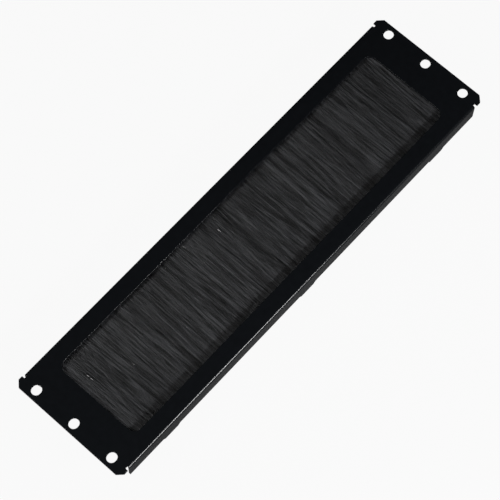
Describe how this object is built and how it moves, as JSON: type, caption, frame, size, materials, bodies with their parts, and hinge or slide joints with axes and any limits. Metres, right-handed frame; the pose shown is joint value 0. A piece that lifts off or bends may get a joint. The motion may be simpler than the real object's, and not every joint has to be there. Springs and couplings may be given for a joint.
{
  "type": "rack brush strip panel",
  "caption": "Folded steel rack panel with a long cable window closed by a wide strip brush, for passing cables through a rack front.",
  "frame": {"origin": "middle of the plane on which the six bent ears stand, under the centre of the panel", "axes": "+X along the panel, +Y across it away from the brush rail, +Z out of the front face"},
  "size_m": [0.4826, 0.1248, 0.025],
  "materials": {
    "powder_coated_steel": "fine satin black powder coat",
    "rail_aluminium": "extruded, natural satin",
    "galvanised_steel": "galvanised strip",
    "bristle_nylon": "black nylon filament",
    "zinc_plated_steel": "zinc plated"
  },
  "bodies": {
    "root": {"front_panel": "powder_coated_steel", "brush_rail": "rail_aluminium", "brush_channel": "galvanised_steel", "core_wire": "galvanised_steel", "bristles": "bristle_nylon", "rail_screw_1": "zinc_plated_steel", "rail_screw_2": "zinc_plated_steel", "rail_screw_3": "zinc_plated_steel"}
  },
  "joints": []
}
